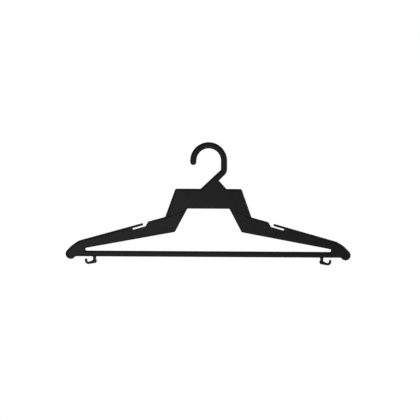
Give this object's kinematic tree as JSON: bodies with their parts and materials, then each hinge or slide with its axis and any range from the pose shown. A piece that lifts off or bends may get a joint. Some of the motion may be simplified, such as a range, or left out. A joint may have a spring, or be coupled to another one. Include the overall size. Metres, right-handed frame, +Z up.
{
  "type": "clothes hanger",
  "caption": "Flat moulded plastic clothes hanger with an open rail hook, notched tapering arms, a straight trouser bar and small cupped skirt hooks.",
  "frame": {"origin": "the rail saddle, the highest point inside the hook, on the middle plane of the hanger", "axes": "+X along the arms to the viewer's right, -Y out of the smooth front, +Z up"},
  "size_m": [0.43, 0.008, 0.1849],
  "materials": {
    "hook": "satin black moulded plastic",
    "bridge": "satin black moulded plastic",
    "left_arm": "satin black moulded plastic",
    "right_arm": "satin black moulded plastic",
    "trouser_bar": "satin black moulded plastic",
    "left_skirt_hook": "satin black moulded plastic",
    "right_skirt_hook": "satin black moulded plastic",
    "left_strap_finger": "satin black moulded plastic",
    "right_strap_finger": "satin black moulded plastic"
  },
  "bodies": {
    "hanger": {"hook": "hook", "bridge": "bridge", "left_arm": "left_arm", "right_arm": "right_arm", "trouser_bar": "trouser_bar", "left_skirt_hook": "left_skirt_hook", "right_skirt_hook": "right_skirt_hook"},
    "left_finger": {"left_strap_finger": "left_strap_finger"},
    "right_finger": {"right_strap_finger": "right_strap_finger"}
  },
  "joints": [
    {"name": "left_finger_flex", "type": "hinge", "parent": "hanger", "child": "left_finger", "pos_m": [-0.11583, 0, -0.11997], "axis": [0, -1, 0], "range_deg": [-6, 8], "stiffness_Nm_per_rad": 3.3},
    {"name": "right_finger_flex", "type": "hinge", "parent": "hanger", "child": "right_finger", "pos_m": [0.11583, 0, -0.11997], "axis": [0, 1, 0], "range_deg": [-6, 8], "stiffness_Nm_per_rad": 3.3}
  ]
}
